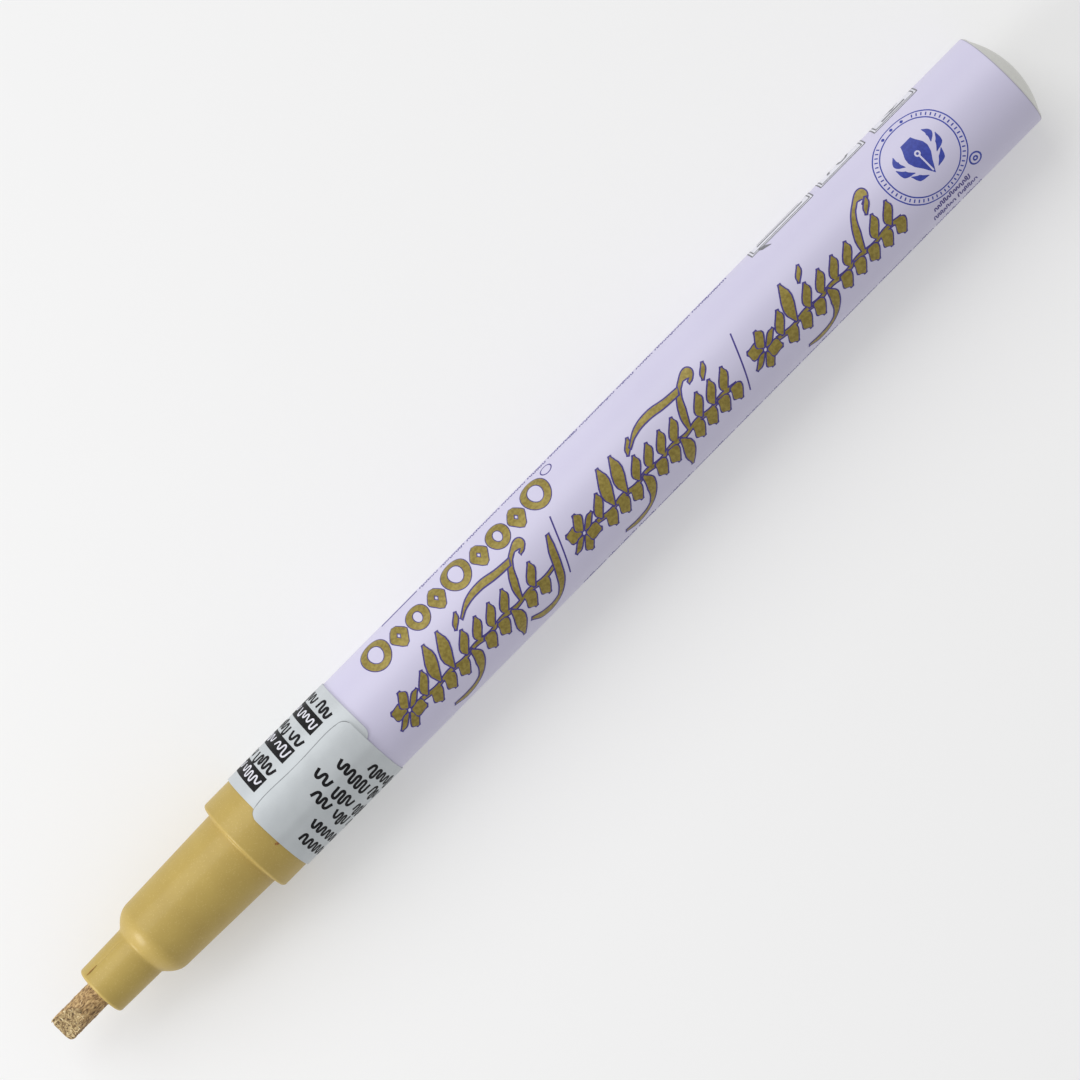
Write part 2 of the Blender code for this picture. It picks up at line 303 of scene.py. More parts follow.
def makeBarrel():
    size = barrelSizes
    radius = barrelRadius / mm
    end = totalLength / mm
    mouth = along(barrelLow[0])
    edge = radius - size["corner"]
    sphere = (edge ** 2 + size["domeHeight"] ** 2) / (2 * size["domeHeight"])
    slope = math.degrees(math.asin(edge / sphere))
    bend = end - size["domeHeight"] - size["corner"] * math.cos(math.radians(slope))
    outline = [(mouth, radius - size["mouthRound"]), (mouth + size["mouthRound"], radius)]
    outline += arc((bend, edge), size["corner"], 90.0, slope, 16)
    dome = arc((end - sphere, 0.0), sphere, slope, 0.0, 14)[1:]
    outline += dome[:-1] + [(end, 0.0)]
    bore = radius - size["wall"]
    innerSphere = sphere - size["domeWall"]
    innerSlope = math.degrees(math.asin((bore - size["corner"]) / innerSphere))
    inside = arc((end - sphere, 0.0), innerSphere, 0.0, innerSlope, 8)
    outline += [(inside[0][0], 0.0)] + inside[1:]
    outline += [(bend - size["corner"], bore), (mouth, bore)]

    def coating(place):
        # lacquer up to the corner, then its thin edge, then bare metal
        turned = (place - bend) / size["corner"]
        return 0 if turned < size["lacquerEnd"] else 1 if turned < size["metalStart"] else 2

    looks = [makeBarrelLacquer(), makeLacquerEdge(), makeDomeMetal()]
    piece = lathe("barrelShell", outline, looks, slotAt=coating)
    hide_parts("barrel_tube")
    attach(piece, "barrel")


sectionSizes = {
    "snoutFront": 5.57, "snoutBack": 11.5, "snoutRadius": 2.88, "snoutFlare": 0.11, "snoutEdge": 0.4,
    "creaseRun": 0.12, "creaseRise": 0.06,
    "shoulderBack": 13.8, "shoulderRadius": 4.33, "shoulderBulge": 2.1, "shoulderEase": 0.98,
    "gripBack": 26.1, "gripFlare": 0.32, "rootFillet": 0.28,
    "collarBack": 30.4, "collarRadius": 5.7, "collarEdge": 0.36,
    "spigotRadius": 5.2, "grooveHalf": 0.65, "grooveDepth": 0.5,
    # the bore's back and the chamber's front count from the shoulder's back
    "nibBore": 1.64, "boreLead": 0.1, "boreBack": -0.5, "chamberFront": 1.0, "chamberRadius": 3.2,
    # the chamber's back and the pocket's front count from the grip's back
    "chamberBack": -0.4, "pocketFront": 0.7, "pocketRadius": 3.9, "pocketStep": 0.5,
    "seamAngle": 47.0, "seamWidth": 0.16, "seamDepth": 0.09, "seamStart": 0.5, "seamEnd": 0.6,
}


def makeSection():
    size = sectionSizes
    front, grip, collar = size["snoutFront"], size["gripBack"], size["collarBack"]
    back = size["snoutRadius"] + size["snoutFlare"]
    wide = size["shoulderRadius"] + size["gripFlare"]
    rise = size["shoulderRadius"] - back
    run = size["shoulderBack"] - size["snoutBack"]
    edge = size["snoutEdge"]
    outline = [(front, size["nibBore"] + size["boreLead"])]
    outline += arc((front + edge, size["snoutRadius"] - edge), edge, 180.0, 90.0, 8)
    for step in range(1, 13):  # close rings, so that the seam keeps its depth
        share = step / 13
        place = front + edge + share * (size["snoutBack"] - front - edge)
        outline.append((place, size["snoutRadius"] + share * size["snoutFlare"]))
    outline.append((size["snoutBack"] - size["creaseRun"], back))
    outline.append((size["snoutBack"], back + size["creaseRise"]))
    for step in range(1, 15):  # a 45 degree flank that rounds over into the grip
        share = step / 14
        bulge = (1 - (1 - share) ** size["shoulderBulge"]) ** size["shoulderEase"]
        outline.append((size["snoutBack"] + run * share, back + rise * bulge))
    fillet, edge = size["rootFillet"], size["collarEdge"]
    outline += arc((grip - fillet, wide + fillet), fillet, -90.0, 0.0, 6)
    outline += arc((grip + edge, size["collarRadius"] - edge), edge, 180.0, 90.0, 8)
    spigotEnd = along(sectionEnd)
    outline += [(collar, size["collarRadius"]), (collar, size["spigotRadius"])]
    groove, half = (collar + spigotEnd) / 2, size["grooveHalf"]
    floor = size["spigotRadius"] - size["grooveDepth"]
    outline += [(groove - half, size["spigotRadius"]), (groove - half, floor)]
    outline += [(groove + half, floor), (groove + half, size["spigotRadius"])]
    outline += [(spigotEnd, size["spigotRadius"]), (spigotEnd, size["pocketRadius"])]
    outline += [(grip + size["pocketFront"], size["pocketRadius"])]
    outline += [(grip + size["pocketFront"], size["pocketRadius"] - size["pocketStep"])]
    outline += [(grip + size["chamberBack"], size["chamberRadius"])]
    outline += [(size["shoulderBack"] + size["chamberFront"], size["chamberRadius"])]
    outline += [(size["shoulderBack"] + size["boreBack"], size["nibBore"])]
    outline += [(front + size["boreLead"], size["nibBore"])]
    seam = math.radians(size["seamAngle"])

    def relief(place, radius, angle):
        # the shallow line that the mould's halves leave along the snout
        inside = front + size["seamStart"] < place < size["snoutBack"] - size["seamEnd"]
        if not inside or radius < size["snoutRadius"]:
            return 0.0
        return -size["seamDepth"] * math.exp(-((angle - seam) * radius / size["seamWidth"]) ** 2)

    piece = lathe("gripMoulding", outline, [makeGoldPlastic()], segments=288, relief=relief)
    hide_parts("grip_section")
    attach(piece, "barrel")


labelSizes = {
    "front": 29.92, "width": 13.5, "thickness": 0.1, "gap": 0.03, "corner": 1.1,
    "start": -13.0, "overlap": 31.8, "lapFrom": 345.0, "lapRun": 11.0,  # in degrees round the marker
    "lapGlue": 0.015, "shiftFrom": 40.0, "shiftPerTurn": -0.72,  # the strip is wound a little askew
    "cornerColumns": 8, "columns": 240, "rows": 12,
}


def labelPlace(turn, across, lift):
    # a point of the wound strip: turn in degrees from +Z, across in mm from its front edge
    size = labelSizes
    height = size["gap"] + lift
    travelled = turn - size["start"]
    climb = min(max((travelled - size["lapFrom"]) / size["lapRun"], 0.0), 1.0)
    height += (size["thickness"] + size["lapGlue"]) * climb * climb * (3 - 2 * climb)
    place = size["front"] + size["shiftPerTurn"] * (travelled - size["shiftFrom"]) / 360.0 + across
    radius = barrelRadius + height * mm
    angle = math.radians(turn)
    return Vector((noseX + place * mm, radius * math.sin(angle), axisZ + radius * math.cos(angle)))


def makeLabel():
    size = labelSizes
    total = 360.0 + size["overlap"]
    perDegree = barrelRadius / mm * math.radians(1.0)
    corner, rows, steps = size["corner"], size["rows"], size["cornerColumns"]
    plain = total - 2 * corner / perDegree
    turns = [corner * (1 - math.cos(math.pi / 2 * step / steps)) / perDegree for step in range(steps)]
    columns = list(turns)
    columns += [corner / perDegree + plain * step / size["columns"] for step in range(size["columns"] + 1)]
    columns += [total - turn for turn in reversed(turns)]
    shape = bmesh.new()
    sheets = []
    for lift in (size["thickness"], 0.0):
        sheet = []
        for column in columns:
            near = min(column, total - column) * perDegree
            inset = 0.0
            if near < corner:
                inset = corner - math.sqrt(max(corner ** 2 - (corner - near) ** 2, 0.0))
            line = []
            for row in range(rows + 1):
                across = inset + (size["width"] - 2 * inset) * row / rows
                line.append(shape.verts.new(labelPlace(size["start"] + column, across, lift)))
            sheet.append(line)
        sheets.append(sheet)
    upper, lower = sheets
    for first in range(len(columns) - 1):
        for row in range(rows):
            for sheet, order in ((upper, 1), (lower, -1)):
                one, two = sheet[first], sheet[first + 1]
                shape.faces.new((one[row], two[row], two[row + 1], one[row + 1])[::order])
    rim = [(first, 0) for first in range(len(columns))]
    rim += [(len(columns) - 1, row) for row in range(1, rows + 1)]
    rim += [(first, rows) for first in range(len(columns) - 2, -1, -1)]
    rim += [(0, row) for row in range(rows - 1, 0, -1)]
    for one, two in zip(rim, rim[1:] + rim[:1]):
        shape.faces.new((
            upper[two[0]][two[1]], upper[one[0]][one[1]], lower[one[0]][one[1]], lower[two[0]][two[1]]
        ))
    piece = finishMesh("wrapFilm", shape, [makeLabelFilm()], 40)
    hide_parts("wrap_label")
    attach(piece, "barrel")


nibSizes = {
    "radius": 1.5, "length": 24.2, "chisel": 3.1, "edge": 0.7, "corner": 0.6, "exposed": 5.57,
    "backStop": 12.0, "segments": 120, "rings": 72,
    "roughUntil": 0.97, "roughDepth": 0.05, "roughSink": 0.045,  # the fibres stand out of a sunk surface
    "roughness": ((1.6, 4.0, 1.0), (4.0, 8.0, 0.5)),  # waves per mm lengthwise and across, and their share
    "frayUntil": 0.2, "frayDepth": 0.06,
    "strandLength": 0.64, "strandRadius": 0.052, "strandTip": 0.24, "strandEnd": 0.3,
    "strands": 230, "facetSpin": math.pi, "shaftSpin": 0.9,
}


def nibSurface(place, angle):
    # a round rod between the chisel's two slopes, its tip's corners rounded; says if it is on a slope
    size = nibSizes
    flat = size["edge"] / 2 + place * (size["radius"] - size["edge"] / 2) / size["chisel"]
    across = size["radius"] * math.sin(angle)
    up = size["radius"] * math.cos(angle)
    sloped = abs(up) > flat
    up = max(-flat, min(flat, up))
    if place < size["corner"]:
        reach = size["radius"] - size["corner"]
        reach += math.sqrt(size["corner"] ** 2 - (size["corner"] - place) ** 2)
        across = max(-reach, min(reach, across))
    return across, up, sloped


def makeNibBody(facetFelt, shaftFelt):
    size = nibSizes
    shape = bmesh.new()
    segments = size["segments"]
    stops = [size["exposed"] * (step / size["rings"]) for step in range(size["rings"] + 1)]
    stops += [size["backStop"], size["length"]]
    rings = []
    slopes = []
    for place in stops:
        ring = []
        slope = []
        for index in range(segments):
            angle = math.tau * index / segments
            across, up, sloped = nibSurface(place, angle)
            spot = Vector((place, across, up))
            if place < size["exposed"] * size["roughUntil"]:
                rough = 0.0
                for lengthScale, sideScale, share in size["roughness"]:
                    sample = Vector((place * lengthScale, across * sideScale, up * sideScale))
                    rough += share * noise.noise(sample)
                inwards = Vector((0.0, across, up)).normalized()
                spot += inwards * (size["roughDepth"] * rough - size["roughSink"])
                if place < size["frayUntil"]:
                    spot.x += size["frayDepth"] * abs(rough)
            ring.append(shape.verts.new((noseX + spot.x * mm, spot.y * mm, axisZ + spot.z * mm)))
            slope.append(sloped)
        rings.append(ring)
        slopes.append(slope)
    for step, (one, two) in enumerate(zip(rings, rings[1:])):
        for index in range(segments):
            after = (index + 1) % segments
            face = shape.faces.new((one[index], one[after], two[after], two[index]))
            face.material_index = 0 if slopes[step][index] else 1
    shape.faces.new(rings[0][::-1])
    shape.faces.new(rings[-1])
    piece = finishMesh("nibFelt", shape, [facetFelt, shaftFelt], 50)
    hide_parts("chisel_nib")
    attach(piece, "nib")
    return piece


def newTree(name, sockets):
    # a tree with geometry in and out, and its named inputs
    tree = bpy.data.node_groups.new(name, "GeometryNodeTree")
    face = tree.interface
    face.new_socket(name="Geometry", in_out="INPUT", socket_type="NodeSocketGeometry")
    for socket, kind in sockets.items():
        face.new_socket(name=socket, in_out="INPUT", socket_type="NodeSocket" + kind)
    face.new_socket(name="Geometry", in_out="OUTPUT", socket_type="NodeSocketGeometry")
    return tree, addNode(tree, "NodeGroupInput").outputs


def endTree(tree, geometry, material):
    real = addNode(tree, "GeometryNodeRealizeInstances", {0: geometry})
    done = addNode(tree, "GeometryNodeSetMaterial", {"Geometry": real, "Material": material})
    addNode(tree, "NodeGroupOutput", {0: done})


def strandTree():
    # lays short curled strands on the faces of one material, each with its own turn and size
    tree, given = newTree("feltStrands", {
        "Count": "Int", "Length": "Float", "Radius": "Float", "Tip": "Float", "Reach": "Float",
        "Face slot": "Int", "Spin": "Float", "Felt": "Material",
    })
    place = addNode(tree, "GeometryNodeInputPosition")
    apart = addNode(tree, "ShaderNodeSeparateXYZ", {0: place})
    out = addNode(tree, "ShaderNodeMath", {0: apart, 1: given["Reach"]}, operation="LESS_THAN")
    past = addNode(tree, "ShaderNodeMath", {0: apart, 1: given["Tip"]}, operation="GREATER_THAN")
    near = addNode(tree, "ShaderNodeMath", {0: out, 1: past}, operation="MULTIPLY")
    worn = addNode(tree, "GeometryNodeInputMaterialIndex")
    same = addNode(tree, "ShaderNodeMath", {0: worn, 1: given["Face slot"], 2: 0.1}, operation="COMPARE")
    shown = addNode(tree, "ShaderNodeMath", {0: near, 1: same}, operation="MULTIPLY")
    area = addNode(tree, "GeometryNodeInputMeshFaceArea")
    total = addNode(tree, "GeometryNodeAttributeStatistic", {
        "Geometry": given["Geometry"], "Selection": shown, "Attribute": area,
    }, domain="FACE")
    shownArea = total.outputs["Sum"]
    density = addNode(tree, "ShaderNodeMath", {0: given["Count"], 1: shownArea}, operation="DIVIDE")
    points = addNode(tree, "GeometryNodeDistributePointsOnFaces", {
        "Mesh": given["Geometry"], "Selection": shown, "Density": density, "Seed": 7,
    })
    strand = addNode(tree, "GeometryNodeCurveQuadraticBezier", {
        "Resolution": 6, "Start": (-0.5, -0.1, -0.1), "Middle": (0.0, 0.36, 0.02), "End": (0.5, -0.12, -0.1),
    })
    fat = addNode(tree, "ShaderNodeMath", {0: given["Radius"], 1: given["Length"]}, operation="DIVIDE")
    ring = addNode(tree, "GeometryNodeCurvePrimitiveCircle", {"Resolution": 6, "Radius": fat})
    tube = addNode(tree, "GeometryNodeCurveToMesh", {
        "Curve": strand, "Profile Curve": ring, "Fill Caps": True,
    })
    lie = addNode(tree, "FunctionNodeAlignRotationToVector", {"Vector": points.outputs["Normal"]}, axis="Z")
    back = addNode(tree, "ShaderNodeMath", {0: 0.0, 1: given["Spin"]}, operation="SUBTRACT")
    low = addNode(tree, "ShaderNodeCombineXYZ", {"X": -0.1, "Y": -0.1, "Z": back})
    high = addNode(tree, "ShaderNodeCombineXYZ", {"X": 0.1, "Y": 0.1, "Z": given["Spin"]})
    spin = addNode(tree, "FunctionNodeRandomValue", {
        "Min": low, "Max": high, "Seed": 3,
    }, data_type="FLOAT_VECTOR")
    turned = addNode(tree, "FunctionNodeRotateRotation", {
        "Rotation": lie, "Rotate By": spin,
    }, rotation_space="LOCAL")
    grow = addNode(tree, "FunctionNodeRandomValue", {"Min": 0.55, "Max": 1.15, "Seed": 5}, data_type="FLOAT")
    grown = next(socket for socket in grow.outputs if socket.enabled)
    scale = addNode(tree, "ShaderNodeMath", {0: grown, 1: given["Length"]}, operation="MULTIPLY")
    strands = addNode(tree, "GeometryNodeInstanceOnPoints", {
        "Points": points, "Instance": tube, "Rotation": turned, "Scale": scale,
    })
    endTree(tree, strands, given["Felt"])
    return tree


def runTree(source, tree, values, name):
    # sets the modifier's inputs by identifier, then keeps the result as a plain mesh
    modifier = source.modifiers.new("build", "NODES")
    modifier.node_group = tree
    for item in tree.interface.items_tree:
        if item.in_out == "INPUT" and item.name in values:
            modifier[item.identifier] = values[item.name]
    bpy.context.view_layer.update()
    graph = bpy.context.evaluated_depsgraph_get()
    mesh = bpy.data.meshes.new_from_object(source.evaluated_get(graph))
    mesh.name = name
    source.modifiers.remove(modifier)
    return linkObject(name, mesh)


def makeNib():
    size = nibSizes
    # each felt's darkest tone is painted shade in the gaps between its strands
    facetFelt = makeFelt("cutAcrylicFelt", "#b8a276", "#8a7048", "#463520", 0.3)
    shaftFelt = makeFelt("paintSoakedAcrylicFelt", "#c9ab78", "#9c7d53", "#5c452b", 0.22, stretch=2.0)
    body = makeNibBody(facetFelt, shaftFelt)
    facetStrand = makeFelt("cutFeltStrands", "#e4d3a8", "#bfa777", "#6f5735", 0.42, bump=0.2)
    shaftStrand = makeFelt("brownFeltStrands", "#e6c998", "#ac8b5c", "#5f4629", 0.42, bump=0.2)
    tree = strandTree()
    looks = (
        ("facetStrands", 0, size["facetSpin"], facetStrand),
        ("shaftStrands", 1, size["shaftSpin"], shaftStrand),
    )
    for name, faceSlot, spin, felt in looks:
        strands = runTree(body, tree, {
            "Count": size["strands"], "Face slot": faceSlot, "Spin": spin, "Felt": felt,
            "Length": size["strandLength"] * mm, "Radius": size["strandRadius"] * mm,
            "Tip": noseX + size["strandTip"] * mm,
            "Reach": noseX + (size["exposed"] - size["strandEnd"]) * mm,
        }, name)
        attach(strands, "nib")


def inkTree():
    # draws each path with a broad pen, as a thin slab of ink bent round the marker
    tree, given = newTree("penStroke", {
        "Pen edge": "Vector", "Hairline": "Float", "Spread": "Float", "Lift": "Float", "Step": "Float",
        "Film": "Float", "Radius": "Float", "Axis height": "Float", "Climb from": "Float",
        "Climb to": "Float", "Climb": "Float", "Columns": "Int", "Ink": "Material",
    })
    path = addNode(tree, "GeometryNodeResampleCurve", {
        "Curve": given["Geometry"], "Length": given["Step"],
    }, mode="LENGTH")
    place = addNode(tree, "GeometryNodeInputPosition")
    forward = addNode(tree, "GeometryNodeInputTangent")
    width = addNode(tree, "GeometryNodeInputRadius")
    side = addNode(tree, "ShaderNodeVectorMath", {0: (0.0, 0.0, 1.0), 1: forward}, operation="CROSS_PRODUCT")
    side = addNode(tree, "ShaderNodeVectorMath", {0: side}, operation="NORMALIZE")
    edge = addNode(tree, "ShaderNodeVectorMath", {0: given["Pen edge"]}, operation="NORMALIZE")

    # the pen's edge widens the stroke where it lies across the path, the hairline everywhere
    facing = addNode(tree, "ShaderNodeVectorMath", {0: side, 1: edge}, operation="DOT_PRODUCT")
    facing = facing.outputs["Value"]
    squared = addNode(tree, "ShaderNodeMath", {0: facing, 1: facing}, operation="MULTIPLY")
    squared = addNode(tree, "ShaderNodeMath", {0: squared, 1: 0.1}, operation="ADD")
    root = addNode(tree, "ShaderNodeMath", {0: squared}, operation="SQRT")
    facing = addNode(tree, "ShaderNodeMath", {0: facing, 1: root}, operation="DIVIDE")
    share = addNode(tree, "ShaderNodeMath", {0: facing, 1: width}, operation="MULTIPLY")
    broad = addNode(tree, "ShaderNodeVectorMath", {0: given["Pen edge"], "Scale": share}, operation="SCALE")
    thin = addNode(tree, "ShaderNodeMath", {0: given["Hairline"], 1: width}, operation="MULTIPLY")
    thin = addNode(tree, "ShaderNodeMath", {0: thin, 1: given["Spread"]}, operation="ADD")
    thin = addNode(tree, "ShaderNodeVectorMath", {0: side, "Scale": thin}, operation="SCALE")
    half = addNode(tree, "ShaderNodeVectorMath", {0: broad, 1: thin}, operation="ADD")

    # an open path is made longer at both ends by the spread
    closed = addNode(tree, "GeometryNodeInputSplineCyclic")
    unclosed = addNode(tree, "ShaderNodeMath", {0: 1.0, 1: closed}, operation="SUBTRACT")
    last = addNode(tree, "GeometryNodeCurveEndpointSelection", {"Start Size": 0, "End Size": 1})
    first = addNode(tree, "GeometryNodeCurveEndpointSelection", {"Start Size": 1, "End Size": 0})
    endward = addNode(tree, "ShaderNodeMath", {0: last, 1: first}, operation="SUBTRACT")
    endward = addNode(tree, "ShaderNodeMath", {0: endward, 1: unclosed}, operation="MULTIPLY")
    endward = addNode(tree, "ShaderNodeMath", {0: endward, 1: given["Spread"]}, operation="MULTIPLY")
    longer = addNode(tree, "ShaderNodeVectorMath", {0: forward, "Scale": endward}, operation="SCALE")
    middle = addNode(tree, "ShaderNodeVectorMath", {0: place, 1: longer}, operation="ADD")

    # the path and a line of columns span a flat ribbon
    kept = addNode(tree, "GeometryNodeCaptureAttribute", {"Geometry": path}, domain="POINT")
    for index, (name, value) in enumerate((("middle", middle), ("half", half))):
        kept.capture_items.new("VECTOR", name)
        tree.links.new(value.outputs[0], kept.inputs[index + 1])
    line = addNode(tree, "GeometryNodeCurvePrimitiveLine", {
        "Start": (-1.0, 0.0, 0.0), "End": (1.0, 0.0, 0.0),
    })
    profile = addNode(tree, "GeometryNodeResampleCurve", {
        "Curve": line, "Count": given["Columns"],
    }, mode="COUNT")
    across = addNode(tree, "GeometryNodeCaptureAttribute", {"Geometry": profile}, domain="POINT")
    across.capture_items.new("FLOAT", "share")
    tree.links.new(addNode(tree, "ShaderNodeSeparateXYZ", {0: place}).outputs["X"], across.inputs[1])
    ribbon = addNode(tree, "GeometryNodeCurveToMesh", {"Curve": kept, "Profile Curve": across})
    spot = addNode(tree, "ShaderNodeVectorMath", {
        0: kept.outputs[2], "Scale": across.outputs[1],
    }, operation="SCALE")
    spot = addNode(tree, "ShaderNodeVectorMath", {0: kept.outputs[1], 1: spot}, operation="ADD")
    flat = addNode(tree, "GeometryNodeSetPosition", {"Geometry": ribbon, "Position": spot})

    # the ribbon gets its thickness and its underside, then bends round the axis
    slab = addNode(tree, "GeometryNodeExtrudeMesh", {
        "Mesh": flat, "Offset": (0.0, 0.0, 1.0), "Offset Scale": given["Film"], "Individual": False,
    }, mode="FACES")
    under = addNode(tree, "GeometryNodeFlipFaces", {"Mesh": flat})
    both = addNode(tree, "GeometryNodeJoinGeometry")
    tree.links.new(slab.outputs["Mesh"], both.inputs[0])
    tree.links.new(under.outputs[0], both.inputs[0])
    whole = addNode(tree, "GeometryNodeMergeByDistance", {"Geometry": both, "Distance": 0.0004 * mm})
    parts = addNode(tree, "ShaderNodeSeparateXYZ", {0: place}).outputs
    angle = addNode(tree, "ShaderNodeMath", {0: parts["Y"], 1: given["Radius"]}, operation="DIVIDE")
    climb = addNode(tree, "ShaderNodeMapRange", {
        "Value": parts["Y"], "From Min": given["Climb from"], "From Max": given["Climb to"],
        "To Min": 0.0, "To Max": given["Climb"],
    }, interpolation_type="SMOOTHSTEP")
    lifted = addNode(tree, "ShaderNodeMath", {0: given["Lift"], 1: climb}, operation="ADD")
    height = addNode(tree, "ShaderNodeMath", {0: parts["Z"], 1: lifted}, operation="ADD")
    height = addNode(tree, "ShaderNodeMath", {0: height, 1: given["Radius"]}, operation="ADD")
    sine = addNode(tree, "ShaderNodeMath", {0: angle}, operation="SINE")
    cosine = addNode(tree, "ShaderNodeMath", {0: angle}, operation="COSINE")
    sideways = addNode(tree, "ShaderNodeMath", {0: height, 1: sine}, operation="MULTIPLY")
    upwards = addNode(tree, "ShaderNodeMath", {0: height, 1: cosine}, operation="MULTIPLY")
    upwards = addNode(tree, "ShaderNodeMath", {0: upwards, 1: given["Axis height"]}, operation="ADD")
    bent = addNode(tree, "ShaderNodeCombineXYZ", {"X": parts["X"], "Y": sideways, "Z": upwards})
    wrapped = addNode(tree, "GeometryNodeSetPosition", {"Geometry": whole, "Position": bent})
    endTree(tree, wrapped, given["Ink"])
    return tree


inkFilm = 0.012  # the ink's thickness in mm


def printStrokes(name, strokes, ink, pen=(0.0, 0.0), hairline=0.1, spread=0.0, lift=0.004,
                 step=0.16, layer=0.001, columns=5, radius=None, slot="barrel", climb=(0.0, 1.0, 0.0)):
    # strokes: lists of (along, arc length from the top, width share) in mm. A stroke marked
    # "ring" closes on itself and one marked "straight" keeps its corners
    curve = bpy.data.curves.new(name, "CURVE")
    curve.dimensions = "3D"
    for order, (kind, points) in enumerate(strokes):
        straight = "straight" in kind
        spline = curve.splines.new("POLY" if straight else "BEZIER")
        level = layer * (order % 2) * mm  # neighbours lie on two levels
        spots = spline.points if straight else spline.bezier_points
        spots.add(len(points) - 1)
        for spot, point in zip(spots, points):
            place = Vector((noseX + point[0] * mm, point[1] * mm, level))
            spot.co = (*place, 1.0) if straight else place
            spot.radius = point[2] if len(point) > 2 else 1.0
            if not straight:
                spot.handle_left_type = spot.handle_right_type = "AUTO"
        spline.use_cyclic_u = "ring" in kind
        spline.resolution_u = 12
    source = linkObject(name + "Path", curve)
    edge = Vector((math.cos(math.radians(pen[1])), math.sin(math.radians(pen[1])), 0.0))
    piece = runTree(source, printTree, {
        "Pen edge": edge * pen[0] / 2 * mm, "Hairline": hairline / 2 * mm, "Spread": spread * mm,
        "Lift": lift * mm, "Step": step * mm, "Film": inkFilm * mm, "Columns": columns,
        "Radius": (radius or barrelRadius / mm) * mm, "Axis height": axisZ, "Ink": ink,
        "Climb from": climb[0] * mm, "Climb to": climb[1] * mm, "Climb": climb[2] * mm,
    }, name)
    bpy.data.objects.remove(source)
    piece.data.shade_smooth()
    piece.data.set_sharp_from_angle(angle=math.radians(35))
    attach(piece, "barrel")


# the long row is a branch in broad-pen strokes: heights are shares of its own height, and
# places lean forward with it
branch = {
    "height": 3.15, "baseline": -3.85, "lean": 0.22, "pen": (1.0, 38.0), "hairline": 0.34, "outline": 0.16,
    "goldLift": 0.014, "step": 0.12, "layer": 0.02,
    "stemHeight": 0.42, "stemWave": 0.04, "stemShare": 0.34, "stemBack": 0.4,  # in nodes before the first
    "leafSteps": 6, "leafEdge": 0.12, "leafSwell": 1.3,
    "flower": {"centre": (0.52, 0.50), "petals": 6, "inner": 0.10, "outer": 0.64, "fullness": 1.25},
}

# each form's strokes, counted from its node on the stem. A leaf is its root, belly, tip and
# fullness; any other stroke is a path of (place, height, width share)
plainLeaf = ("leaf", (0.0, 0.44), (0.06, 0.80), (0.22, 1.12), 1.5)
leafForms = {
    "leaf": [plainLeaf],
    "under": [("leaf", (0.14, 0.40), (0.36, 0.22), (0.34, -0.14), 1.35)],
    "tall": [("leaf", (0.0, 0.44), (0.02, 1.06), (0.12, 1.64), 1.5)],
    "seed": [plainLeaf, ("leaf", (0.10, 1.26), (0.24, 1.44), (0.36, 1.66), 1.0)],
    "tail": [("path", (0.16, 0.42, 0.2), (0.26, 0.05, 1.15), (0.14, -0.42, 1.0), (-0.16, -0.72, 0.8),
              (-0.6, -0.84, 0.7), (-1.15, -0.74, 0.15))],
    "spur": [("leaf", (0.14, 0.40), (0.34, -0.10), (0.16, -0.72), 1.35)],
    "tendril": [("path", (0.0, 0.44, 0.3), (0.08, 0.94, 1.0), (0.24, 1.38, 0.9), (0.50, 1.68, 0.9),
                 (0.84, 1.80, 0.9), (0.98, 1.64, 0.6), (0.78, 1.52, 0.3)),
                ("path", (0.32, 1.56, 0.6), (-0.25, 1.60, 0.65), (-0.95, 1.70, 0.75), (-1.55, 1.62, 0.7),
                 (-1.95, 1.38, 0.25))],
    "curl": [("path", (0.0, 0.44, 0.3), (0.08, 0.94, 1.0), (0.24, 1.38, 0.9), (0.50, 1.70, 0.9),
              (0.86, 1.86, 0.9), (1.0, 1.68, 0.6), (0.80, 1.54, 0.3))],
    "sweep": [("path", (0.62, 1.30, 0.3), (0.50, 0.92, 0.9), (0.36, 0.3, 1.0), (0.16, -0.34, 1.0),
               (-0.18, -0.68, 0.9), (-0.70, -0.70, 0.7), (-1.2, -0.42, 0.2))],
    "none": [],
}

# where each branch begins, where its last node lies, and what grows above and below each node
branches = [
    (45.8, 66.9, "leaf tall tall seed leaf leaf leaf tendril leaf none",
     "under under under tail under under spur under under sweep"),
    (70.5, 92.2, "leaf tall tall seed leaf leaf leaf tendril leaf seed leaf",
     "under under under tail under under spur under under under under"),
    (96.1, 115.4, "leaf tall seed leaf leaf leaf curl seed leaf",
     "under under under tail under under under under under"),
]


def branchSpot(start, point):
    size = branch
    place = start + (point[0] + point[1] * size["lean"]) * size["height"]
    return (place, size["baseline"] + point[1] * size["height"], *point[2:])


def leafPath(root, belly, tip, fullness):
    # swells from its root and narrows to its tip along one bend
    points = []
    for step in range(branch["leafSteps"] + 1):
        share = step / branch["leafSteps"]
        parts = ((1 - share) ** 2, 2 * share * (1 - share), share ** 2)
        spot = [parts[0] * a + parts[1] * b + parts[2] * c for a, b, c in zip(root, belly, tip)]
        swell = math.sin(math.pi * share) ** branch["leafSwell"]
        points.append((*spot, branch["leafEdge"] + fullness * swell))
    return points


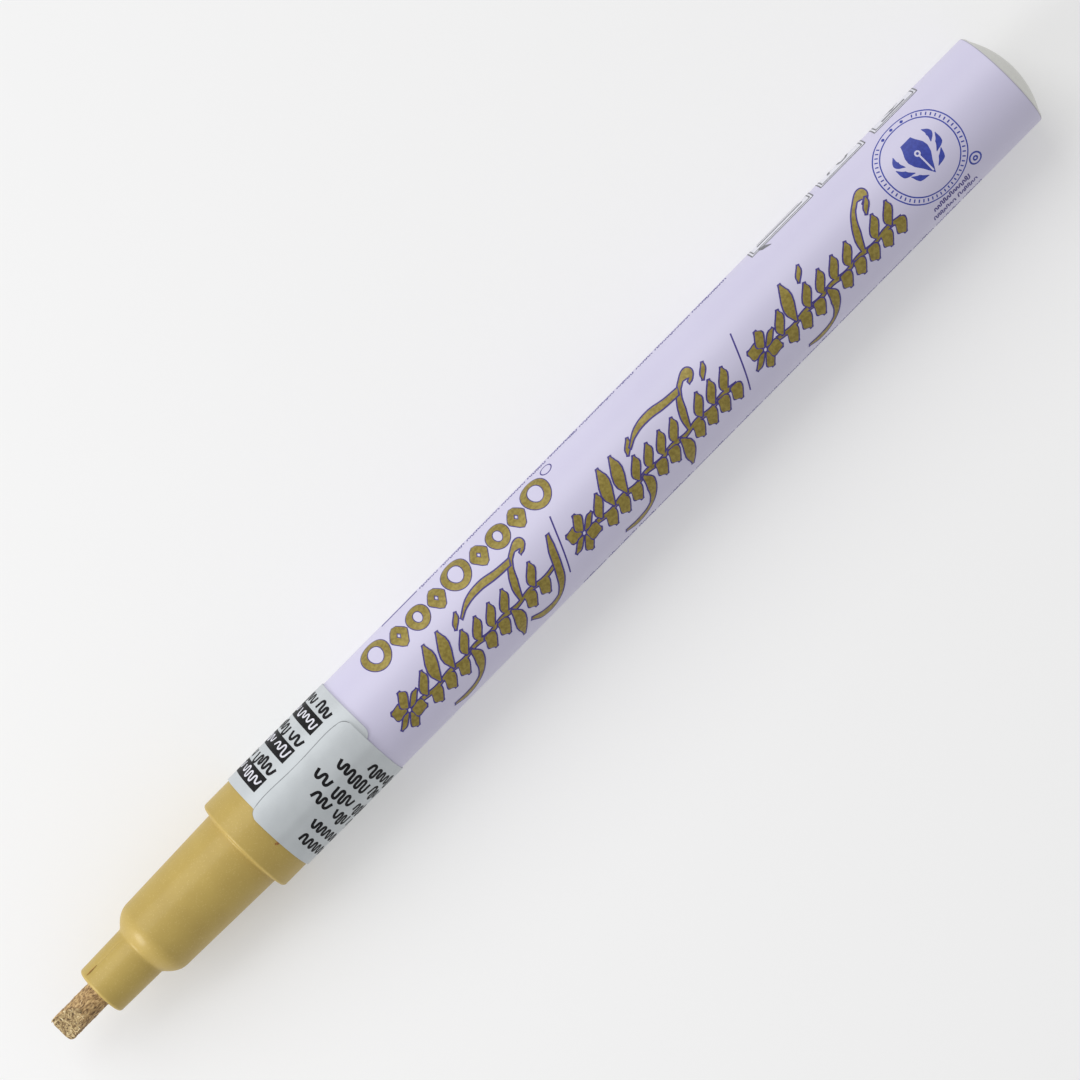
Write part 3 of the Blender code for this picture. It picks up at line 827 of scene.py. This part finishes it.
def branchStrokes(start, end, above, below):
    # a flower, then the stem with its leaves in pairs
    size = branch
    flower = size["flower"]
    strokes = []
    for index in range(flower["petals"]):
        angle = math.tau * (index + 0.5) / flower["petals"]
        petal = []
        for reach in (flower["inner"], (flower["inner"] + flower["outer"]) / 2, flower["outer"]):
            petal.append((
                flower["centre"][0] + reach * math.cos(angle), flower["centre"][1] + reach * math.sin(angle)
            ))
        strokes.append(("", [branchSpot(start, point) for point in leafPath(*petal, flower["fullness"])]))
    first = start + flower["outer"] * 2 * size["height"]
    above, below = above.split(), below.split()
    pitch = (end - first) / (len(above) - 1)
    stem = []
    for index in range(len(above) + 1):
        place = (index - size["stemBack"]) * pitch / size["height"]
        height = size["stemHeight"] + size["stemWave"] * (-1) ** index
        stem.append(branchSpot(first, (place, height, size["stemShare"])))
    strokes.append(("", stem))
    for index, names in enumerate(zip(above, below)):
        for name in names:
            for kind, *shape in leafForms[name]:
                path = leafPath(*shape) if kind == "leaf" else shape
                strokes.append(("", [branchSpot(first + index * pitch, point) for point in path]))
    return strokes


def makeBranches(gold, violet):
    size = branch
    shared = {"pen": size["pen"], "hairline": size["hairline"], "step": size["step"], "layer": size["layer"]}
    for number, growth in enumerate(branches, 1):
        strokes = branchStrokes(*growth)
        printStrokes(f"branchOutline{number}", strokes, violet, spread=size["outline"], **shared)
        printStrokes(f"branchGold{number}", strokes, gold, lift=size["goldLift"], **shared)
        print("branch", number, "drawn with", len(strokes), "strokes")


def arcAt(degrees, radius=None):
    # arc length in mm from the marker's top line to an angle towards +Y
    return math.radians(degrees) * (radius or barrelRadius / mm)


def ringStroke(centre, radius, corners=12, tall=None):
    # a round or oval ring; one with four corners is a lozenge
    points = []
    for index in range(corners):
        angle = math.tau * index / corners
        points.append((centre[0] + radius * math.cos(angle), centre[1] + (tall or radius) * math.sin(angle)))
    return "straight ring" if corners == 4 else "ring", points


# rings and lozenges: each with its width and height, in thick even line, and a small ring after them
borderRow = {
    "start": 47.6, "low": 2.5, "line": 0.76, "gap": 0.25, "outline": 0.10, "goldLift": 0.02, "columns": 9,
    "large": (3.3, 4.0), "small": (2.6, 3.1), "lozenge": (2.2, 3.1),
    "pattern": "large lozenge small lozenge large lozenge small lozenge large",
    "dot": (74.3, 60), "dotRadius": 0.68, "dotLine": 0.14, "dotStep": 0.08,
}


def makeBorderRow(gold, violet):
    size = borderRow
    line, columns = size["line"], size["columns"]
    place = size["start"]
    strokes = []
    for name in size["pattern"].split():
        wide, tall = size[name]
        centre = (place + wide / 2, size["low"] + tall / 2)
        corners = 4 if name == "lozenge" else 16
        strokes.append(ringStroke(centre, (wide - line) / 2, corners, (tall - line) / 2))
        place += wide + size["gap"]
    printStrokes("borderOutline", strokes, violet, hairline=line, spread=size["outline"], columns=columns)
    printStrokes("borderGold", strokes, gold, hairline=line, lift=size["goldLift"], columns=columns)
    dot = ringStroke((size["dot"][0], arcAt(size["dot"][1])), size["dotRadius"])
    printStrokes("borderDot", [dot], violet, hairline=size["dotLine"], step=size["dotStep"])
    print("border row ends at", round(place, 1), "mm")


seal = {
    "along": 122.5, "angle": 3.0, "outer": 4.86, "inner": 4.10, "line": 0.14, "ticks": 56, "gap": 0.5,
    "tickInset": 0.2, "ringStep": 0.1, "nibStep": 0.06, "nibColumns": 15,
    "nib": ((2.15, 0.52), (1.75, 0.62), (0.9, 0.94), (0.35, 1.0), (-0.3, 0.86), (-1.2, 0.42), (-2.2, 0.02)),
    "nibWidth": 2.7, "leafReach": 1.9, "leafLine": 0.72,
    # each leaf's root, belly and tip as (share of the reach, height, width share)
    "leaves": (
        ((1.05, 1.9, 0.1), (1.2, 1.1, 1.0), (0.95, 0.3, 0.1)),
        ((1.45, 0.7, 0.1), (1.25, -0.2, 1.0), (0.8, -0.8, 0.1)),
        ((1.1, -0.8, 0.1), (0.8, -1.5, 0.9), (0.35, -1.95, 0.1)),
    ),
    "drops": ((-1.3, 4.06), (0.0, 4.27), (1.3, 4.06)), "dropHeight": 0.4,  # in the gap in the ticks
    "slit": (-1.9, 0.1), "hole": 0.42, "holeRadius": 0.24, "slitLine": 0.18, "slitLift": 0.024,
    "dot": (126.4, -40), "dotRadii": (0.66, 0.22), "dotLine": 0.19, "step": 0.08,
}


def makeSeal(blue, lilac):
    # a plain double ring with ticks like a coin's edge, round a pen nib between two sprigs
    size = seal
    step = size["step"]
    centre = (size["along"], arcAt(size["angle"]))

    def at(across, up, share=1.0):
        return centre[0] + across, centre[1] + up, share

    lines = [ringStroke(centre, size["outer"], 16), ringStroke(centre, size["inner"], 16)]
    for index in range(size["ticks"]):
        angle = math.tau * index / size["ticks"]
        if abs(angle - math.pi / 2) < size["gap"]:
            continue
        reaches = (size["inner"] + size["tickInset"], size["outer"] - size["tickInset"])
        tick = [at(reach * math.cos(angle), reach * math.sin(angle)) for reach in reaches]
        lines.append(("straight", tick))
    printStrokes("sealRings", lines, blue, hairline=size["line"], step=size["ringStep"])
    nib = [("", [at(0.0, up, share) for up, share in size["nib"]])]
    printStrokes("sealNib", nib, blue, hairline=size["nibWidth"], step=size["nibStep"],
                 columns=size["nibColumns"])
    sprigs = []
    for side in (-1, 1):
        reach = side * size["leafReach"]
        for leaf in size["leaves"]:
            sprigs.append(("", [at(reach * across, up, share) for across, up, share in leaf]))
    for shift, low in size["drops"]:
        middle, top = low + size["dropHeight"] / 2, low + size["dropHeight"]
        sprigs.append(("straight", [at(shift, low, 0.2), at(shift, middle, 0.6), at(shift, top, 0.2)]))
    printStrokes("sealSprigs", sprigs, blue, hairline=size["leafLine"], step=step)
    slit = [("straight", [at(0.0, up) for up in size["slit"]])]
    slit.append(ringStroke(at(0.0, size["hole"])[:2], size["holeRadius"], 8))
    printStrokes("sealSlit", slit, lilac, hairline=size["slitLine"], lift=size["slitLift"], step=step)
    dot = (size["dot"][0], arcAt(size["dot"][1]))
    rings = [ringStroke(dot, size["dotRadii"][0]), ringStroke(dot, size["dotRadii"][1], 8)]
    printStrokes("sealDot", rings, blue, hairline=size["dotLine"], step=step)


wave = {
    "pitch": 0.34, "words": (2.2, 5.6), "least": 0.6, "wordGap": 0.3, "unevenness": (0.8, 1.2),
    "tops": (0.7, 0.72, 0.7, 1.0), "feet": (0.0, 0.02, 0.0, -0.2),  # shares of the row's height
}


def scribble(begin, finish, height, seed, place, pitch=wave["pitch"], words=wave["words"]):
    # a row of small up-and-down pen waves in words, which stands in for fine print
    chance = random.Random(seed)
    strokes = []
    run = begin
    while run < finish - wave["least"]:
        stop = min(run + chance.uniform(*words), finish)
        points = []
        rising = False
        while run < stop:
            tall = chance.choice(wave["tops"] if rising else wave["feet"])
            points.append(place(run, tall * height))
            run += height * pitch * chance.uniform(*wave["unevenness"])
            rising = not rising
        if len(points) > 2:
            strokes.append(("", points))
        run += height * wave["wordGap"]
    return strokes


def lengthwise(low):
    return lambda run, rise: (run, low + rise)


def around(front):
    return lambda run, rise: (front - rise, run)  # reads towards +Y, its top towards the nib


slashes = {"places": (68.75, 94.25), "lean": 2.5, "top": 14, "foot": -44, "line": 0.17}


def makeSlashes(violet):
    size = slashes
    strokes = []
    for place in size["places"]:
        top, foot = (place + size["lean"], arcAt(size["top"])), (place, arcAt(size["foot"]))
        strokes.append(("straight", [top, foot]))
    printStrokes("slashes", strokes, violet, hairline=size["line"])


# rows of fine print beside the silhouettes and over the back: from, to, angle, height and seed
finePrint = {
    "rows": (
        (57.0, 101.0, 75.5, 0.66, 1), (119.9, 125.0, -54.0, 0.60, 2), (119.4, 125.6, -66.0, 0.62, 3),
        (57.0, 92.0, 95.0, 0.62, 4), (52.0, 90.0, 108.0, 0.62, 5), (55.0, 96.0, 121.0, 0.62, 6),
        (69.0, 126.0, -84.0, 0.62, 7), (66.0, 124.0, -97.0, 0.62, 8), (66.0, 120.0, -110.0, 0.62, 9),
        (66.0, 125.0, -123.0, 0.62, 10),
    ),
    "line": 0.15, "step": 0.13, "columns": 3,
    "rule": (51.6, 56.6), "ruleAngle": 79, "ruleLine": 0.45,
}


def makeFinePrint(violet):
    size = finePrint
    strokes = []
    for begin, finish, angle, height, seed in size["rows"]:
        strokes += scribble(begin, finish, height, seed, lengthwise(arcAt(angle)))
    printStrokes("finePrint", strokes, violet, hairline=size["line"], step=size["step"],
                 columns=size["columns"])
    rule = [("straight", [(place, arcAt(size["ruleAngle"])) for place in size["rule"]])]
    printStrokes("rule", rule, violet, hairline=size["ruleLine"])


pictograms = {
    "front": (103.9, 113.65, 121.3), "back": (112.55, 119.95, 127.3), "low": 64.5, "high": 112.0,
    "inset": 0.34, "frameLine": 0.14, "signLine": 0.36, "lift": 0.018, "fillLift": 0.003,
    # each hint's strokes from the middle of its frame: lay flat, shake, press
    "signs": (
        (("straight", ((-3.0, 0.0, 1.4), (2.2, 0.0, 1.4), (3.0, 0.0, 0.6))),
         ("straight", ((-3.2, -1.2, 1.0), (3.2, -1.2, 1.0)))),
        (("", ((-1.6, -1.2, 1.0), (-0.6, 1.2, 1.0), (0.4, -1.2, 1.0), (1.5, 1.2, 1.0))),),
        (("straight", ((0.0, 1.6, 1.0), (0.0, -0.8, 1.0))),
         ("straight", ((-0.9, 0.1, 1.0), (0.0, -0.9, 1.0), (0.9, 0.1, 1.0))),
         ("straight", ((-1.6, -1.5, 1.0), (1.6, -1.5, 1.0)))),
    ),
    "pointer": ((104.9, 66.0, 0.5), (105.3, 62.5, 1.0), (106.1, 56.0, 0.1)),
    "pointerLine": 0.62, "pointerLift": 0.03,
}


def makePictograms(grey, pale):
    # three framed hints on keeping and using the marker: lay it flat, shake it, press its nib
    size = pictograms
    low, high = arcAt(size["low"]), arcAt(size["high"])
    middle = (low + high) / 2
    frames, fills, signs = [], [], []
    for front, back, strokes in zip(size["front"], size["back"], size["signs"]):
        for inset in (0.0, size["inset"]):
            frames.append(("straight ring", [
                (front + inset, low + inset), (back - inset, low + inset),
                (back - inset, high - inset), (front + inset, high - inset),
            ]))
        fills.append(("straight", [(front, middle), (back, middle)]))
        centre = (front + back) / 2
        for kind, points in strokes:
            signs.append((kind, [(centre + place, middle + rise, share) for place, rise, share in points]))
    printStrokes("hintFills", fills, pale, hairline=high - low, lift=size["fillLift"], columns=25)
    printStrokes("hintFrames", frames, grey, hairline=size["frameLine"], lift=size["lift"])
    printStrokes("hintSigns", signs, grey, hairline=size["signLine"], lift=size["lift"])
    pointer = [("straight", [(place, arcAt(angle), share) for place, angle, share in size["pointer"]])]
    printStrokes("hintPointer", pointer, grey, hairline=size["pointerLine"], lift=size["pointerLift"])


labelPrint = {
    "boxes": (32.0, 36.0, 39.95), "boxWidth": 1.84, "boxStart": 31.0, "boxEnd": 104.0,
    "markInset": 0.3, "markHeight": 0.9, "markDrop": 0.4, "markPitch": 0.5, "markWords": (2.4, 4.0),
    "markLine": 0.2, "markLift": 0.02,
    "notes": (34.2, 38.2, 42.15), "noteHeight": 1.2, "pitch": 0.38, "line": 0.33, "lift": 0.003, "step": 0.1,
    "rows": ((31.75, -30.0), (33.55, -19.0), (35.7, -9.0), (37.45, 12.0), (39.65, -2.0), (41.45, -28.0)),
    "rowHeight": 1.22, "rowEnd": -128.0, "rowStagger": 5, "climb": (-28.0, -17.0),
    "markSeed": 20, "noteSeed": 30, "rowSeed": 40,
    "lapEnd": 19.4, "lapShadowLine": 0.09,
    # the painted shadow line along the lap's raised end: its places, and how far each lies before the end
    "lapShadowPath": ((29.3, 0.8), (29.6, 0.3), (30.3, 0), (36.0, 0), (41.7, 0), (42.4, 0.3), (42.7, 0.8)),
}


def makeLabelPrint(black, film, lapShadowGrey):
    size = labelPrint
    base = barrelRadius / mm + labelSizes["gap"] + labelSizes["thickness"]
    climb = [math.radians(turn) * base for turn in size["climb"]]
    climb.append(labelSizes["thickness"] + labelSizes["lapGlue"])
    start, end = math.radians(size["boxStart"]) * base, math.radians(size["boxEnd"]) * base
    boxes, marks, notes, rows = [], [], [], []
    for index, place in enumerate(size["boxes"]):
        boxes.append(("straight", [(place, start), (place, end)]))
        marks += scribble(
            start + size["markInset"], end - size["markInset"], size["markHeight"], size["markSeed"] + index,
            around(place + size["markDrop"]), size["markPitch"], size["markWords"],
        )
    for index, place in enumerate(size["notes"]):
        seed = size["noteSeed"] + index
        notes += scribble(start, end, size["noteHeight"], seed, around(place), size["pitch"])
    for index, (place, top) in enumerate(size["rows"]):
        finish = math.radians(top) * base
        begin = math.radians(size["rowEnd"] + size["rowStagger"] * (index % 3)) * base
        seed = size["rowSeed"] + index
        rows += scribble(begin, finish, size["rowHeight"], seed, around(place), size["pitch"])
    edge = math.radians(size["lapEnd"]) * base
    lapShadowLine = [("", [(place, edge - before) for place, before in size["lapShadowPath"]])]
    shared = {"lift": size["lift"], "radius": base, "slot": "label"}
    onTop = dict(shared, lift=size["markLift"], step=size["step"])
    fine = dict(shared, hairline=size["line"], step=size["step"])
    printStrokes("labelBoxes", boxes, black, hairline=size["boxWidth"], **shared)
    printStrokes("labelBoxMarks", marks, film, hairline=size["markLine"], **onTop)
    printStrokes("labelNotes", notes, black, **fine)
    # a thin grey line, painted as the shadow along the lap's raised end
    printStrokes("labelLapLine", lapShadowLine, lapShadowGrey, hairline=size["lapShadowLine"], **shared)
    printStrokes("labelRows", rows, black, climb=climb, **fine)


# dark brown marks: their places and angles with width shares, the radius that the angles are turned to
# arc lengths with, their line and the radius that they lie on
darkMarks = {
    "seamStain": (((6.0, 47, 0.4), (6.6, 47, 1.0), (7.5, 47.5, 0.2)), 2.9, 0.14, 2.86),
    "paintScuff": (
        ((28.9, -21, 0.6), (29.15, -22.5, 1.0), (29.5, -23, 0.4)), None, 0.3, sectionSizes["collarRadius"],
    ),
}
darkMarkStep = 0.06


def makeDarkMarks(brownMarkInk):
    # a dark brown line along the snout's seam, and a touch of dried paint on the collar beside the label
    for name, (spots, turnRadius, line, radius) in darkMarks.items():
        stroke = [("", [(place, arcAt(angle, turnRadius), share) for place, angle, share in spots])]
        printStrokes(name, stroke, brownMarkInk, hairline=line, radius=radius, slot="grip", step=darkMarkStep)


def makePrint():
    # gold holds metal flakes, the others are plain pigment, and the black one is matt
    gold = makeInk("goldScreenInk", "#98883f", "#7f6f2d", 0.35, 0.42, Metallic=0.25)
    violet = makeInk("violetScreenInk", "#433888", "#352a76", 0.3)
    blue = makeInk("blueScreenInk", "#3443a2", "#2a3792", 0.3)
    grey = makeInk("greyScreenInk", "#77777c", "#63636a", 0.3)
    black = makeInk("blackFlexoInk", "#1d1d1f", "#131315", 0.3, Specular_IOR_Level=0.12)
    pale = makeInk("paleScreenInk", "#dcdce4", "#d2d2dc", 0.5)
    lilac = makeInk("lilacScreenInk", "#cdc9e0", "#c8c4dc", 0.5)
    # grey for the shadow painted along the lap's raised end
    lapShadowGrey = makeInk("paintedLapShadow", "#8b8f92", "#7c8083", 0.3)
    brownMarkInk = makeInk("brownMarks", "#a4702a", "#7d5220", 0.2)
    makeBranches(gold, violet)
    makeBorderRow(gold, violet)
    makeSeal(blue, lilac)
    makeSlashes(violet)
    makeFinePrint(violet)
    makePictograms(grey, pale)
    makeLabelPrint(black, pale, lapShadowGrey)
    makeDarkMarks(brownMarkInk)


def makeInnerPieces():
    # the pieces inside keep their meshes and get their own finishes
    looks = {
        "feed_sleeve": makeFelt("whiteWoolFelt", "#e9e4d6", "#d2cbb8", "#b1a88f", 0.3),
        "valve_housing": makePlain("naturalAcetal", "#e6e3d8", 0.4, Roughness=0.4),
        "valve_stem": makePlain("naturalAcetalStem", "#e9e6db", 0.4, Roughness=0.38),
        "spring_retainer": makePlain("naturalAcetalDisc", "#e4e1d5", 0.4, Roughness=0.42),
        "valve_seal": makePlain("blackNitrile", "#1d1d1f", 0.2, Roughness=0.7),
        "barrel_seal_ring": makePlain("greyNitrile", "#37373a", 0.2, Roughness=0.65),
        "valve_spring": makePlain("drawnSpringSteel", "#c3c5c9", 0.08, Roughness=0.28, Metallic=1.0),
        "mixing_ball": makePlain("polishedBallSteel", "#cfd0d2", 0.5, Roughness=0.12, Metallic=1.0),
    }
    for nodeName, look in looks.items():
        for slot in bpy.data.objects[nodeName].material_slots:
            slot.material = look


def makeSpring():
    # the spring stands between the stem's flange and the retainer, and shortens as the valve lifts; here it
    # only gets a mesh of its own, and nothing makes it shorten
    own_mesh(bpy.data.objects["valve_spring"])


stage = {
    "floorSize": 3.0, "floorTone": "#d2d2d2", "glow": 0.26, "ambient": 0.54,
    # each light's place and size in metres, and its power in watts
    "keyLight": ((-0.1, 0.8, 0.8), 0.9, 5.6), "noseLight": ((-0.45, 0.13, 0.15), 0.2, 1.25),
    "distance": 0.482, "lens": 160.0, "sensor": 36.0, "turn": -45.37,
    "shiftX": 0.9 * mm, "shiftY": 0.43 * mm,
}


def makeFloor():
    made, tree, shader, place = newMaterial("paleSweep", Roughness=0.9)
    shader.inputs["Base Color"].default_value = linear(stage["floorTone"])
    shader.inputs["Emission Color"].default_value = (1.0, 1.0, 1.0, 1.0)
    shader.inputs["Emission Strength"].default_value = stage["glow"]  # a sweep lit from behind
    bpy.ops.mesh.primitive_plane_add(size=stage["floorSize"])
    floor = bpy.context.object
    floor.name = "floor"
    floor.data.materials.append(made)


def makeLight(name, target):
    place, size, power = stage[name]
    lamp = bpy.data.lights.new(name, "AREA")
    lamp.size = size
    lamp.energy = power
    made = linkObject(name, lamp)
    made.location = place
    made.rotation_euler = (Vector(target) - Vector(place)).to_track_quat("-Z", "Y").to_euler()


def makeStage():
    scene = bpy.context.scene
    makeFloor()
    for name in ("keyLight", "noseLight"):
        makeLight(name, (0.0, 0.0, axisZ))
    world = bpy.data.worlds.new("studio")
    world.use_nodes = True
    background = world.node_tree.nodes["Background"]
    background.inputs["Color"].default_value = (1.0, 1.0, 1.0, 1.0)
    background.inputs["Strength"].default_value = stage["ambient"]
    scene.world = world
    scene.view_settings.view_transform = "Standard"
    lens = bpy.data.cameras.new("camera")
    lens.lens = stage["lens"]
    lens.sensor_width = stage["sensor"]
    camera = linkObject("camera", lens)
    centre = (cadBounds[0][0] + cadBounds[1][0]) / 2
    camera.location = (centre + stage["shiftX"], stage["shiftY"], axisZ + stage["distance"])
    camera.rotation_euler = (0.0, 0.0, math.radians(stage["turn"]))
    scene.camera = camera


printTree = inkTree()
print("print tree built")
makeBarrel()
makeSection()
makeLabel()
makeNib()
print("body pieces built")
makePrint()
print("printing done")
makeInnerPieces()
makeSpring()
print("inner pieces finished")
makeStage()
print("stage set")
